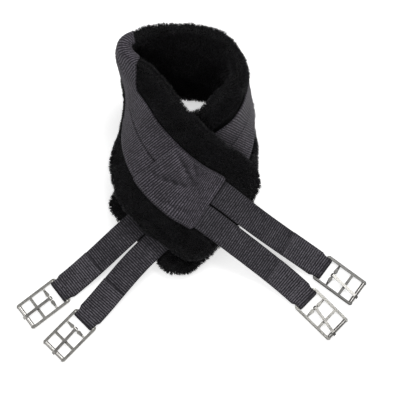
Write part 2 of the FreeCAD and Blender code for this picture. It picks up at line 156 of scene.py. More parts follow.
def pad_points(t, w, n):
    """Points w across and n out from the pad's middle surface, with the direction across and the normal."""
    t, w, n = (np.asarray(a, float).ravel() for a in np.broadcast_arrays(t, w, n))
    centre, _, across, normal, upper, lower = frame_at(t)
    side = np.where(w > 0, 1.0, -1.0)
    tucked = lower + TUCK * smoothstep(t, 6.5, 7.5) * (1 - smoothstep(t, 9.2, 10.0))
    curl = np.where(w > 0, upper, tucked)
    curl = np.where(np.abs(curl) < 1e-5, 1e-5, curl)
    bend = BEND_END - BEND_START
    over = np.maximum(np.abs(w) - BEND_START, 0)
    turned = curl * np.minimum(over / bend, 1)
    straight = np.maximum(over - bend, 0)
    out = np.minimum(np.abs(w), BEND_START) + bend / curl * np.sin(turned) + straight * np.cos(curl)
    drop = bend / curl * (1 - np.cos(turned)) + straight * np.sin(curl)
    cos, sin = np.cos(turned)[:, None], (side * np.sin(turned))[:, None]
    local_normal = normal * cos + across * sin
    local_across = across * cos - normal * sin
    points = centre + across * (side * out)[:, None] - normal * drop[:, None] + local_normal * n[:, None]
    return points, local_across, local_normal


FINE = np.linspace(0, LAST, 2001)
FINE_STEPS = np.linalg.norm(np.diff(frame_at(FINE)[0], axis=0), axis=1)
FINE_DISTANCE = np.concatenate(([0], np.cumsum(FINE_STEPS)))


def distance_at(t):
    return np.interp(t, FINE, FINE_DISTANCE)


def station_at(distance):
    return np.interp(distance, FINE_DISTANCE, FINE)


def climb(t):
    """How far the webbing creeps up the pad and over its rim at the left bend."""
    t = np.asarray(t, float)
    return CLIMB * smoothstep(t, 4.9, 5.7) * (1 - smoothstep(t, 6.3, 7.1))


def bow(t):
    """How far the webbing stands off the fleece at the two tight bends."""
    left = LEFT_BOW * smoothstep(t, 5.3, 5.8) * (1 - smoothstep(t, 6.3, 6.8))
    right = RIGHT_BOW * smoothstep(t, 10.2, 10.9) * (1 - smoothstep(t, 11.5, 12.3))
    return left + right


def hump(x, middle, size):
    """One at the middle, falling off smoothly to either side."""
    return np.exp(-(((x - middle) / size) ** 2))


def half_width(t):
    """Half the pad's width, which narrows round the corners of both ends."""
    into = 45 * MM * np.minimum(t, LAST - t)
    inside = np.clip(END_CORNER_RADIUS - into, 0, END_CORNER_RADIUS * 0.93)
    return PAD_WIDTH / 2 - END_CORNER_RADIUS + np.sqrt(END_CORNER_RADIUS**2 - inside**2)


def waves(points, size, seed):
    """A smooth random value between about -1 and 1 at each point, with bumps of the given size."""
    local = np.random.default_rng(seed)
    total = np.zeros(len(points))
    for _ in range(9):
        direction = unit(local.normal(size=3)) * (2 * math.pi / size) * local.uniform(0.6, 1.5)
        total += np.sin(points @ direction + local.uniform(0, 2 * math.pi))
    return total / 3.0


# ---------------------------------------------------------------- meshes from arrays


def new_mesh(name, vertices, loops, sizes, smooth=True):
    """A mesh object from vertices, the faces' corners in one list, and how many corners each face has."""
    mesh = bpy.data.meshes.new(name)
    mesh.vertices.add(len(vertices))
    mesh.vertices.foreach_set("co", np.asarray(vertices, np.float32).ravel())
    mesh.loops.add(len(loops))
    mesh.loops.foreach_set("vertex_index", np.asarray(loops, np.int32))
    mesh.polygons.add(len(sizes))
    starts = np.concatenate(([0], np.cumsum(sizes)[:-1])).astype(np.int32)
    mesh.polygons.foreach_set("loop_start", starts)
    mesh.update(calc_edges=True)
    mesh.validate()
    mesh.polygons.foreach_set("use_smooth", np.full(len(mesh.polygons), smooth))
    obj = bpy.data.objects.new(name, mesh)
    bpy.context.scene.collection.objects.link(obj)
    return obj


def tube_faces(rows, columns, offset=0):
    """Quads of a tube made of that many rings of vertices, open at both ends."""
    i, j = np.meshgrid(np.arange(rows - 1), np.arange(columns), indexing="ij")
    j_next = (j + 1) % columns
    here, next_ring = i * columns, (i + 1) * columns
    quads = np.stack((here + j, here + j_next, next_ring + j_next, next_ring + j), axis=-1)
    return quads.reshape(-1, 4) + offset


def set_uv(obj, u, v):
    """Gives each vertex a place on a flat map, in metres."""
    mesh = obj.data
    corner = np.zeros(len(mesh.loops), np.int32)
    mesh.loops.foreach_get("vertex_index", corner)
    layer = mesh.uv_layers.new(name="cloth")
    layer.data.foreach_set("uv", np.column_stack((u[corner], v[corner])).astype(np.float32).ravel())


def set_value(obj, name, values):
    attribute = obj.data.attributes.new(name, "FLOAT", "POINT")
    attribute.data.foreach_set("value", np.asarray(values, np.float32))


# ---------------------------------------------------------------- materials


class Nodes:
    """A short way to write a material's nodes."""

    def __init__(self, name):
        self.material = bpy.data.materials.new(name)
        self.material.use_nodes = True
        self.tree = self.material.node_tree
        self.surface = self.tree.nodes["Principled BSDF"]

    def add(self, kind, inputs=(), **settings):
        node = self.tree.nodes.new(kind)
        for key, value in settings.items():
            setattr(node, key, value)
        for key, value in dict(inputs).items():
            self.join(value, node.inputs[key])
        return node

    def join(self, value, socket):
        if isinstance(value, bpy.types.NodeSocket):
            self.tree.links.new(value, socket)
        else:
            socket.default_value = value

    def math(self, operation, a, b=0.0, clamp=False):
        return self.add("ShaderNodeMath", {0: a, 1: b}, operation=operation, use_clamp=clamp).outputs[0]

    def ramp(self, value, low, high):
        """Runs from colour low to colour high as value goes from 0 to 1."""
        node = self.add("ShaderNodeValToRGB", {0: value})
        node.color_ramp.elements[0].color = (*low, 1)
        node.color_ramp.elements[1].color = (*high, 1)
        return node.outputs[0]

    def noise(self, vector, scale, detail=3.0, roughness=0.6):
        inputs = {"Vector": vector, "Scale": scale, "Detail": detail, "Roughness": roughness}
        return self.add("ShaderNodeTexNoise", inputs).outputs["Fac"]

    def bump(self, height, distance, strength=1.0, normal=None):
        inputs = {"Height": height, "Distance": distance, "Strength": strength}
        if normal is not None:
            inputs["Normal"] = normal
        return self.add("ShaderNodeBump", inputs).outputs[0]

    def finish(self, **sockets):
        for key, value in sockets.items():
            self.join(value, self.surface.inputs[key.replace("_", " ")])
        return self.material

    @property
    def place(self):
        return self.add("ShaderNodeTexCoord").outputs["Object"]


def webbing_material(name, light, dark, pitch):
    """Ribbed webbing: yarns run along it, with lint and wear; the crown attribute brings painted shade, each
    rib painted lighter on top with darker grooves.
    """
    m = Nodes(name)
    uv = m.add("ShaderNodeUVMap", uv_map="cloth").outputs[0]
    split = m.add("ShaderNodeSeparateXYZ", {0: uv})
    yarn = 1.5 * MM
    across = m.math("DIVIDE", split.outputs[0], yarn)
    along = m.math("DIVIDE", split.outputs[1], pitch)
    rib_number = m.math("FLOOR", along)
    shifted = m.math("ADD", across, m.math("MULTIPLY", rib_number, 0.5))
    strand = m.math("ABSOLUTE", m.math("SINE", m.math("MULTIPLY", shifted, math.pi)))
    lint = m.noise(m.place, 1500.0, 3.0, 0.75)
    fleck = m.noise(m.place, 420.0, 2.0, 0.6)
    patch = m.noise(m.place, 26.0, 3.0, 0.6)
    # crown holds painted shade from the mesh: lighter rib tops, darker grooves and edges, and each strip's
    # tone.
    crown = m.add("ShaderNodeAttribute", attribute_name="crown").outputs["Fac"]
    wear = m.math("ADD", 0.45, m.math("MULTIPLY", m.math("SUBTRACT", patch, 0.38), 1.5), clamp=True)
    speckle = m.math("SUBTRACT", m.math("ADD", lint, fleck), 1.0)
    grain = m.math("ADD", 0.55, m.math("MULTIPLY", speckle, 2.2))
    yarns = m.math("ADD", 0.7, m.math("MULTIPLY", strand, 0.3))
    worn_grain = m.math("MULTIPLY", grain, m.math("ADD", wear, 0.55))
    shade = m.math("MULTIPLY", m.math("MULTIPLY", crown, yarns), worn_grain)
    shade = m.math("ADD", shade, m.math("MULTIPLY", wear, 0.06), clamp=True)
    height = m.math("ADD", m.math("MULTIPLY", strand, 0.6), m.math("MULTIPLY", lint, 0.6))
    colour = m.ramp(shade, dark, light)
    rough = m.math("ADD", 0.78, m.math("MULTIPLY", patch, 0.14))
    m.surface.inputs["Sheen Weight"].default_value = 0.06
    m.surface.inputs["Sheen Roughness"].default_value = 0.5
    m.surface.inputs["Specular IOR Level"].default_value = 0.25
    return m.finish(Base_Color=colour, Roughness=rough, Normal=m.bump(height, 0.25 * MM, 0.7))


def fleece_material():
    """Black plush: painted shade darkens the pile towards its roots, so it is lighter towards the tips, and
    it is lighter in wisps.
    """
    m = Nodes("black_fleece")
    # tip: painted shade, low at the tufts' roots and on the backing, high at their tips.
    tip = m.add("ShaderNodeAttribute", attribute_name="tip").outputs["Fac"]
    clumps = m.noise(m.place, 120.0, 4.0, 0.6)
    drift = m.noise(m.place, 18.0, 2.0, 0.5)
    wisps = m.math("MULTIPLY", m.math("POWER", clumps, 2.0), 1.3)
    shade = m.math("MULTIPLY", tip, m.math("ADD", wisps, m.math("MULTIPLY", drift, 0.35)), clamp=True)
    colour = m.ramp(shade, (0.0014, 0.0013, 0.0018), (0.0210, 0.0200, 0.0255))
    fuzz = m.noise(m.place, 1500.0, 3.0, 0.7)
    m.surface.inputs["Sheen Weight"].default_value = 0.12
    m.surface.inputs["Sheen Roughness"].default_value = 0.35
    m.surface.inputs["Specular IOR Level"].default_value = 0.25
    rough = m.math("ADD", 0.62, m.math("MULTIPLY", fuzz, 0.3))
    return m.finish(Base_Color=colour, Roughness=rough, Normal=m.bump(fuzz, 0.5 * MM, 0.6))


def thread_material():
    """Twisted grey sewing thread."""
    m = Nodes("sewing_thread")
    twist = m.noise(m.place, 3200.0, 2.0, 0.5)
    colour = m.ramp(twist, (0.05, 0.047, 0.055), (0.17, 0.16, 0.185))
    m.surface.inputs["Sheen Weight"].default_value = 0.1
    return m.finish(Base_Color=colour, Roughness=m.math("ADD", 0.45, m.math("MULTIPLY", twist, 0.3)),
                    Normal=m.bump(twist, 0.15 * MM, 0.6))


def foam_material():
    """Pale open-cell foam, hidden inside the fleece."""
    m = Nodes("open_cell_foam")
    cells = m.add("ShaderNodeTexVoronoi", {"Vector": m.place, "Scale": 700.0}).outputs["Distance"]
    colour = m.ramp(cells, (0.38, 0.35, 0.26), (0.66, 0.63, 0.52))
    return m.finish(Base_Color=colour, Roughness=m.math("ADD", 0.8, m.math("MULTIPLY", cells, 0.15)),
                    Normal=m.bump(cells, 0.6 * MM, 0.8))


def metal_material(name, colour_low, colour_high, roughness):
    """Nickel-plated steel: faint casting grain, fine scratches and a duller bloom in patches."""
    m = Nodes(name)
    grain = m.noise(m.place, 900.0, 4.0, 0.7)
    bloom = m.noise(m.place, 130.0, 3.0, 0.6)
    stretched = m.add("ShaderNodeMapping", {"Vector": m.place, "Scale": (2600.0, 160.0, 900.0)}).outputs[0]
    scratches = m.noise(stretched, 1.0, 2.0, 0.5)
    colour = m.ramp(bloom, colour_low, colour_high)
    rough = m.math("ADD", roughness, m.math("MULTIPLY", m.math("SUBTRACT", bloom, 0.4), 0.35))
    height = m.math("ADD", m.math("MULTIPLY", grain, 0.5), m.math("MULTIPLY", scratches, 0.5))
    m.surface.inputs["Metallic"].default_value = 1.0
    return m.finish(Base_Color=colour, Roughness=rough, Normal=m.bump(height, 0.06 * MM, 0.5))


def floor_material():
    """A near-white table that glows a little, so that shadows on it stay faint."""
    m = Nodes("pale_floor")
    fine = m.noise(m.place, 60.0, 4.0, 0.6)
    colour = m.ramp(fine, (0.82, 0.82, 0.82), (0.86, 0.86, 0.86))
    m.surface.inputs["Emission Color"].default_value = (1, 1, 1, 1)
    m.surface.inputs["Emission Strength"].default_value = 0.62
    return m.finish(Base_Color=colour, Roughness=m.math("ADD", 0.6, m.math("MULTIPLY", fine, 0.1)))


PAD_WEBBING = webbing_material(
    "pad_webbing", light=(0.190, 0.172, 0.205), dark=(0.0065, 0.0058, 0.0085), pitch=PAD_RIB_PITCH
)
STRAP_WEBBING = webbing_material(
    "strap_webbing", light=(0.165, 0.155, 0.178), dark=(0.0065, 0.006, 0.0085), pitch=STRAP_RIB_PITCH
)
FLEECE = fleece_material()
THREAD = thread_material()
FOAM = foam_material()
FRAME_METAL = metal_material("plated_frame", (0.30, 0.295, 0.275), (0.44, 0.43, 0.405), 0.24)
# A darker copy of the frame metal, as painted shade, for the front upper buckle alone.
SHADED_FRAME_METAL = metal_material("plated_frame_painted_shade", (0.085, 0.084, 0.080), (0.17, 0.168, 0.162), 0.30)
ROLLER_METAL = metal_material("plated_roller", (0.36, 0.35, 0.335), (0.50, 0.49, 0.47), 0.18)
TONGUE_METAL = metal_material("plated_tongue", (0.26, 0.255, 0.24), (0.42, 0.41, 0.39), 0.22)


def dress(obj, material, body="girth"):
    """Gives a piece its material and slot, and the body that it moves with."""
    obj.data.materials.clear()
    obj.data.materials.append(material)
    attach(obj, body)
    return obj


# ---------------------------------------------------------------- webbing


class Path:
    """The middle line of a strip: points, directions across it and out of it, and the distance along it."""

    def __init__(self, points, across, normal):
        self.points, self.across, self.normal = points, across, normal
        steps = np.linalg.norm(np.diff(points, axis=0), axis=1)
        self.distance = np.concatenate(([0], np.cumsum(steps)))
        self.length = self.distance[-1]

    def at(self, distance):
        def read(rows):
            return np.column_stack([np.interp(distance, self.distance, rows[:, k]) for k in range(3)])

        return read(self.points), unit(read(self.across)), unit(read(self.normal))


def cloth_points(t, w, n):
    """Like pad_points, for cloth that lies over the pad and wraps round the upper rim where it climbs."""
    t, w, n = (np.asarray(a, float).ravel() for a in np.broadcast_arrays(t, w, n))
    aside, out = w + climb(t), n + bow(t)
    over = np.maximum(aside - PAD_REACH, 0)
    angle = over / PAD_HALF
    cos, sin = np.cos(angle), np.sin(angle)
    points, across, normal = pad_points(t, aside - over + out * sin, out * cos)
    cos, sin = cos[:, None], sin[:, None]
    return points, across * cos - normal * sin, normal * cos + across * sin


def pad_path(t_start, t_stop, w, n):
    """A path that follows the pad's webbing, w across and n out."""
    return Path(*cloth_points(np.linspace(t_start, t_stop, 600), w, n))


def on_path(path):
    """Places a strip's points by its distance along, its place across and its height over a path."""

    def place(distance, w, height):
        points, across, normal = path.at(distance[:, 0])
        return points[:, None] + across[:, None] * w[..., None] + normal[:, None] * height[..., None]

    return place


def on_pad(start, sense, middle, level):
    """Places a strip's points on the pad, following its curled borders and wrapping over its rim."""

    def place(distance, w, height):
        t = station_at(distance_at(start) + sense * distance)
        return cloth_points(t, middle + w, level + height)[0].reshape(*w.shape, 3)

    return place


def webbing_strip(name, length, place, width_at, pitch, thickness, material, shape=None, tone=None,
                  rib=0.5 * MM, columns=13):
    """A closed strip with real ribs across it. shape(distance, across) moves its middle surface out a little,
    and tone(distance, across) makes it lighter or darker."""
    rows = int(length / pitch * 8)
    distance = np.linspace(0, length, rows)
    half_width_here = width_at(distance) / 2
    v = np.sin(np.linspace(-math.pi / 2, math.pi / 2, columns) * 0.94) / math.sin(math.pi * 0.47)
    v_all = np.concatenate((v, v[-2:0:-1]))
    face = np.concatenate((np.ones(columns), -np.ones(columns - 2)))
    edge = np.sqrt(np.maximum(1 - np.abs(v_all) ** 14, 0))
    d, w = np.meshgrid(distance, v_all, indexing="ij")
    w = w * half_width_here[:, None]
    skew = 0.25 * MM * np.sin(w / (9 * MM)) + 0.12 * MM * np.sin(w / (2.3 * MM) + d / (31 * MM))
    crown = (0.5 - 0.5 * np.cos(2 * math.pi * (d + skew) / pitch)) ** 0.7
    height = face * edge * (thickness / 2 - rib / 2 + crown * rib)
    if shape is not None:
        height = height + shape(d, w)
    vertices = place(d, w, height)
    count = len(v_all)
    quads = tube_faces(rows, count)
    caps = np.concatenate((np.arange(count)[::-1], (rows - 1) * count + np.arange(count)))
    loops = np.concatenate((quads.ravel(), caps))
    sizes = np.concatenate((np.full(len(quads), 4), (count, count)))
    obj = new_mesh(name, vertices.reshape(-1, 3), loops, sizes)
    # Painted shade: lighter on the ribs' tops, darker in their grooves and towards the strip's rounded edges.
    shade = crown**2.2 * (0.35 + 0.65 * edge)
    if tone is not None:
        shade = shade * tone(d, w)
    set_uv(obj, w.ravel(), d.ravel())
    set_value(obj, "crown", shade.ravel())
    return dress(obj, material)


def lane(side, name):
    """One of the two long webbings: side 1 is the upper one and -1 the lower one."""
    middle = side * (LANE_GAP / 2 + LANE_WIDTH / 2)
    start, stop = FRONT_SEAM + 0.15, UNDER_SEAM - 0.15
    length = distance_at(stop) - distance_at(start)

    def shape(distance, w):
        """The upper lane's inner edge rides on the lower lane's, and both ripple a little."""
        from_join = LANE_WIDTH / 2 + side * w
        proud = (0.9 if side > 0 else -0.5) * MM * (1 - smoothstep(from_join, 0.5 * MM, 7 * MM))
        ripple = 0.25 * MM * np.sin(distance / (23 * MM)) * np.sin(w / (15 * MM) + side)
        return proud + ripple

    def width_at(distance):
        return np.full(len(distance), LANE_WIDTH)

    place = on_pad(start, 1, middle, LANE_TOP - WEBBING / 2)
    strip = webbing_strip(name, length, place, width_at, PAD_RIB_PITCH, WEBBING, PAD_WEBBING, shape)
    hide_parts(name)
    return strip


def patch_span(end):
    """The stations of a patch's seam, where the straps come out, and of its inner edge."""
    if end == "front":
        return FRONT_SEAM, FRONT_SEAM + PATCH_LENGTH
    return UNDER_SEAM, UNDER_SEAM - PATCH_LENGTH


def end_patch(end, name):
    """The wide piece over both strap ends, sewn down all round. The straps' edges show through it."""
    seam, inner = patch_span(end)
    length = abs(distance_at(inner) - distance_at(seam))
    full = 2 * LANE_WIDTH + LANE_GAP
    corner = 5 * MM

    def width_at(distance):
        inside = np.maximum(corner - distance, 0)
        return full - 2 * (corner - np.sqrt(np.maximum(corner**2 - inside**2, 0)))

    def shape(distance, w):
        beside_straps = -1.9 * MM * smoothstep(np.abs(w), 39 * MM, 42.5 * MM)
        between_straps = -0.6 * MM * (1 - smoothstep(np.abs(w), 0.5 * MM, 3 * MM))
        inner_end = -1.8 * MM * smoothstep(distance, length - 7 * MM, length - 2 * MM)
        hem = 0.35 * MM * (1 - smoothstep(distance, 3 * MM, 5.5 * MM))
        sunk = np.maximum(beside_straps + inner_end, -2 * MM)
        return sunk + between_straps + hem + creases(end, distance, w)[0]

    def tone(distance, w):
        """Painted shade at the seam, a painted highlight on the hem beside it, and painted light and shade in
        the folds.
        """
        hem_highlight = 0.5 * hump(distance, 3.2 * MM, 1.6 * MM)
        seam_edge_shade = 0.9 * hump(distance, 0, 1.3 * MM)
        return creases(end, distance, w)[1] + (hem_highlight - seam_edge_shade)

    place = on_pad(seam, 1 if end == "front" else -1, 0, PATCH_BOTTOM + PATCH_THICKNESS / 2)
    strip = webbing_strip(name, length, place, width_at, PAD_RIB_PITCH, PATCH_THICKNESS, PAD_WEBBING, shape,
                          tone, columns=27)
    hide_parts(name)
    return strip


# Start and stop of each fold as distance from the seam and place across, then its height, in millimetres
CREASES = (
    ((34, 12), (88, 36), 2.0),
    ((34, 8), (84, -14), 1.8),
    ((40, 24), (64, 40), 1.2),
    ((14, -24), (66, -36), 1.0),
)


def creases(end, distance, w):
    """Soft folds where the front patch gives over its straps: how high they stand, and the painted light and
    shade on their sides.
    """
    height, tone = 0.0 * w, 1 + 0.0 * w
    if end != "front":
        return height, tone
    for start, stop, top in CREASES:
        run = np.subtract(stop, start) * MM
        ahead, aside = distance - start[0] * MM, w - start[1] * MM
        u = np.clip((ahead * run[0] + aside * run[1]) / (run @ run), 0, 1)
        ahead, aside = ahead - u * run[0], aside - u * run[1]
        away = (ahead * run[1] - aside * run[0]) / np.linalg.norm(run)
        strength = np.sin(math.pi * np.clip(u * 0.8 + 0.15, 0, 1))
        near = hump(np.hypot(ahead, aside), 0, 4.5 * MM) * strength
        height = height + top * MM * near
        # Painted light and shade: each fold lighter on one side and darker on the other.
        tone = tone + 0.8 * top * near * np.tanh(away / (1.5 * MM))
    return height, tone


def loop_half(distance):
    """Half the distance between a strap's two layers, at a distance from its bar."""
    wide = STRAP_BAR_RADIUS + GAP + WEBBING / 2
    narrow = WEBBING / 2 + GAP / 2
    return wide + (narrow - wide) * smoothstep(distance, 0, PINCH_LENGTH + 3 * MM)


def strap_root(name):
    """The station where a strap starts, under its end patch."""
    if name.startswith("front"):
        return FRONT_SEAM + PATCH_LENGTH - 0.25
    return UNDER_SEAM - PATCH_LENGTH + 0.25


def strap_line(name):
    """A strap's reference line, from its root under the end patch to its bar: points, across and normal."""
    end, which = name.split("_")
    side = 1 if which == "upper" else -1
    rim, sense = (0.0, -1) if end == "front" else (LAST, 1)
    level = STRAP_LAYER + WEBBING / 2 + GAP / 2
    t = np.linspace(strap_root(name), rim, 160)
    points, across, normal = pad_points(t, side * STRAP_PITCH / 2, level)
    leave = frame_at(rim)[1][0] * sense
    heading = math.radians(BUCKLE_HEADINGS[name])
    arrive = np.array((math.cos(heading), math.sin(heading), 0.0))
    left = np.array((-math.sin(heading), math.cos(heading), 0.0))
    bar = np.array(STRAP_BARS[name]) * MM
    first, across_first = points[-1], across[-1]
    across_last = left * np.sign(across_first @ left)
    run = np.linalg.norm(bar - first)
    u = np.linspace(0, 1, 241)[1:, None]
    free = (first * ((1 + 2 * u) * (1 - u) ** 2) + leave * (run * u * (1 - u) ** 2)
            + bar * (u * u * (3 - 2 * u)) + arrive * (run * u * u * (u - 1)))
    slope = ((bar - first) * (6 * u * (1 - u)) + leave * (run * (1 - u) * (1 - 3 * u))
             + arrive * (run * u * (3 * u - 2)))
    forward = unit(slope)
    free_across = across_first * (1 - u) + across_last * u
    free_across = unit(free_across - forward * np.sum(forward * free_across, axis=1, keepdims=True))
    free_normal = np.cross(forward, free_across)
    free_normal *= np.where(free_normal[:, 2:] < 0, -1, 1)
    return np.vstack((points, free)), np.vstack((across, free_across)), np.vstack((normal, free_normal))


def strap_path(name):
    """The middle of the webbing: out under the line, round the bar and back over it."""
    points, across, normal = strap_line(name)
    line = Path(points, across, normal)
    left = line.length - line.distance
    gap = loop_half(left)[:, None]
    bar, forward = points[-1], unit(points[-1] - points[-2])
    angle = np.linspace(-math.pi / 2, math.pi / 2, 26)[1:-1, None]
    spoke = forward * np.cos(angle) + normal[-1] * np.sin(angle)
    folded = left <= FOLD_BACK
    back_points = (points + normal * gap)[folded][::-1]
    back_across, back_normal = across[folded][::-1], normal[folded][::-1]
    path = Path(
        np.vstack((points - normal * gap, bar + spoke * loop_half(0), back_points)),
        np.vstack((across, np.repeat(across[-1:], len(spoke), 0), back_across)),
        np.vstack((-normal, spoke, back_normal)),
    )
    back = Path(back_points, back_across, back_normal)
    path.bar_at = path.length - back.length - math.pi / 2 * loop_half(0)
    seam = FRONT_SEAM if name.startswith("front") else UNDER_SEAM
    path.seam_at = abs(distance_at(seam) - distance_at(strap_root(name)))
    return path, line


def strap(name):
    path, line = strap_path(name)

    def width_at(distance):
        from_bar = np.abs(distance - path.bar_at)
        pinched = INNER_WIDTH - 0.8 * MM
        u = np.clip((from_bar - PINCH_LENGTH) / (5 * MM), 0, 1)
        return pinched + (STRAP_WIDTH - pinched) * u

    def tone(distance, w):
        """Painted shade in the seam, a painted shadow before the fold-back's cut end, painted shade at the
        bar, and lighter on the fold-back.
        """
        shade_beside_seam = hump(distance, path.seam_at + 1.2 * MM, 1.8 * MM)
        shadow_beside_cut = hump(distance, path.bar_at - FOLD_BACK - 5 * MM, 1.8 * MM)
        shade_at_bar = hump(distance, path.bar_at + 1 * MM, 4 * MM)
        fold_back = 0.55 * smoothstep(distance, path.bar_at + 6 * MM, path.bar_at + 9 * MM)
        return 1 + fold_back - 0.95 * shade_beside_seam - 0.8 * shadow_beside_cut - 0.6 * shade_at_bar

    strip = webbing_strip(f"strap_{name}", path.length, on_path(path), width_at, STRAP_RIB_PITCH,
                          WEBBING - 0.1 * MM, STRAP_WEBBING, tone=tone, rib=0.6 * MM)
    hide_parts(f"strap_{name}")
    return strip


# ---------------------------------------------------------------- stitching

STITCH_LENGTH = 3.0 * MM
STITCH_SPACE = 1.0 * MM
STITCH_WIDTH = 0.75 * MM
STITCH_INSET = 4 * MM  # from a lane's edge to its row of stitching


def stitch_shape():
    """One stitch lying along x, a unit long and a unit thick: rings and the quads between them."""
    sides, profile = 6, ((-0.5, 0.25), (-0.36, 0.85), (0.0, 1.0), (0.36, 0.85), (0.5, 0.25))
    turn = np.arange(sides) * 2 * math.pi / sides
    rings = [
        np.column_stack((np.full(sides, x), r / 2 * np.cos(turn), r / 2 * np.sin(turn))) for x, r in profile
    ]
    return np.vstack(rings), tube_faces(len(profile), sides), sides


def stitches(name, rows):
    """Rows of separate stitches. Each row is a Path on the cloth, with its normal out of the cloth."""
    shape, quads, sides = stitch_shape()
    centres, along, aside, out = [], [], [], []
    for row in rows:
        count = max(1, int(row.length / (STITCH_LENGTH + STITCH_SPACE)))
        middle = (np.arange(count) + 0.5) * row.length / count
        points, _, normal = row.at(middle)
        ahead = row.at(np.minimum(middle + 0.5 * MM, row.length))[0]
        behind = row.at(np.maximum(middle - 0.5 * MM, 0))[0]
        forward = unit(ahead - behind)
        centres.append(points)
        along.append(forward)
        aside.append(unit(np.cross(normal, forward)))
        out.append(normal)
    centres, along, aside, out = (np.vstack(a) for a in (centres, along, aside, out))
    turned = random.normal(0, 0.05, len(centres))[:, None]
    along, aside = unit(along + aside * turned), unit(aside - along * turned)
    size = STITCH_LENGTH * random.uniform(0.92, 1.06, len(centres))[:, None]
    vertices = (centres[:, None] + along[:, None] * (shape[:, 0] * size)[..., None]
                + aside[:, None] * (shape[:, 1] * STITCH_WIDTH)[None, :, None]
                + out[:, None] * (shape[:, 2] * STITCH_WIDTH * 0.75)[None, :, None])
    per = len(shape)
    first = (np.arange(len(centres)) * per)[:, None]
    all_quads = (quads[None] + first[:, :, None]).reshape(-1, 4)
    start_cap = (np.arange(sides)[::-1] + first).reshape(-1)
    stop_cap = (per - sides + np.arange(sides) + first).reshape(-1)
    loops = np.concatenate((all_quads.ravel(), start_cap, stop_cap))
    sizes = np.concatenate((np.full(len(all_quads), 4), np.full(2 * len(centres), sides)))
    obj = new_mesh(name, vertices.reshape(-1, 3), loops, sizes)
    dress(obj, THREAD)
    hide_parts(name)
    return obj


def lane_stitching():
    """Rows near both edges of each lane, between the two end patches."""
    start, stop = FRONT_SEAM + PATCH_LENGTH + 0.04, UNDER_SEAM - PATCH_LENGTH - 0.04
    rows = []
    for side in (-1, 1):
        for w in (STITCH_INSET, LANE_WIDTH - STITCH_INSET):
            rows.append(pad_path(start, stop, side * (LANE_GAP / 2 + w), LANE_TOP + 0.1 * MM))
    return stitches("lane_stitching", rows)


def line_on_patch(end, corners):
    """Straight rows on the patch's top, between corners given as distance from the seam and place across."""
    seam = patch_span(end)[0]
    sense = 1 if end == "front" else -1
    rows = []
    for (d0, w0), (d1, w1) in zip(corners, corners[1:]):
        d, w = np.linspace(d0, d1, 60) * MM, np.linspace(w0, w1, 60) * MM
        t = station_at(distance_at(seam) + sense * d)
        drop = -1.9 * MM * smoothstep(np.abs(w), 39 * MM, 42.5 * MM)
        rows.append(Path(*pad_points(t, w, PATCH_TOP + 0.1 * MM + drop + creases(end, d, w)[0])))
    return rows


def patch_stitching(end):
    """A row inside the hem, all round the patch."""
    seam, inner = patch_span(end)
    length = abs(distance_at(inner) - distance_at(seam)) / MM
    near, far, side = 4.2, length - 2.5, 39.6
    rows = line_on_patch(end, ((near, -side), (far, -side), (far, side), (near, side), (near, -side)))
    return stitches(f"patch_stitching_{end}", rows)


def fold_stitching(name):
    """A stitched box on the fold-back, with a second cross row beside each of its ends."""
    _, line = strap_path(name)
    start, stop, side = 17.5, 61.5, 15.0
    corners = (
        ((start, -side), (stop, -side)),
        ((stop, -side), (stop, side)),
        ((stop, side), (start, side)),
        ((start, side), (start, -side)),
        ((start + 2.6, side), (start + 2.6, -side)),
        ((stop - 2.6, side), (stop - 2.6, -side)),
    )
    rows = []
    for (d0, w0), (d1, w1) in corners:
        d, w = np.linspace(d0, d1, 40) * MM, np.linspace(w0, w1, 40) * MM
        points, across, normal = line.at(line.length - d)
        out = loop_half(d) + WEBBING / 2 + 0.12 * MM
        rows.append(Path(points + across * w[:, None] + normal * out[:, None], across, normal))
    return stitches(f"fold_stitching_{name}", rows)


# ---------------------------------------------------------------- fleece

PILE_LENGTH = 6.0 * MM
PILE_PIECES = 8
TUFTS_PER_PIECE = 26000
TUFT_THICKNESS = 0.30 * MM
SHORT_PILE = 2.4 * MM  # under the straps
SKIN_HALF = 5.2 * MM  # from the middle surface to the backing that the pile grows from
SKIN_ROWS = 170
DEEPEST_DIP = 0.6 * MM  # so that the foam never shows through
ABOVE_TABLE = 0.3 * MM
COVERED = LANE_WIDTH + LANE_GAP / 2


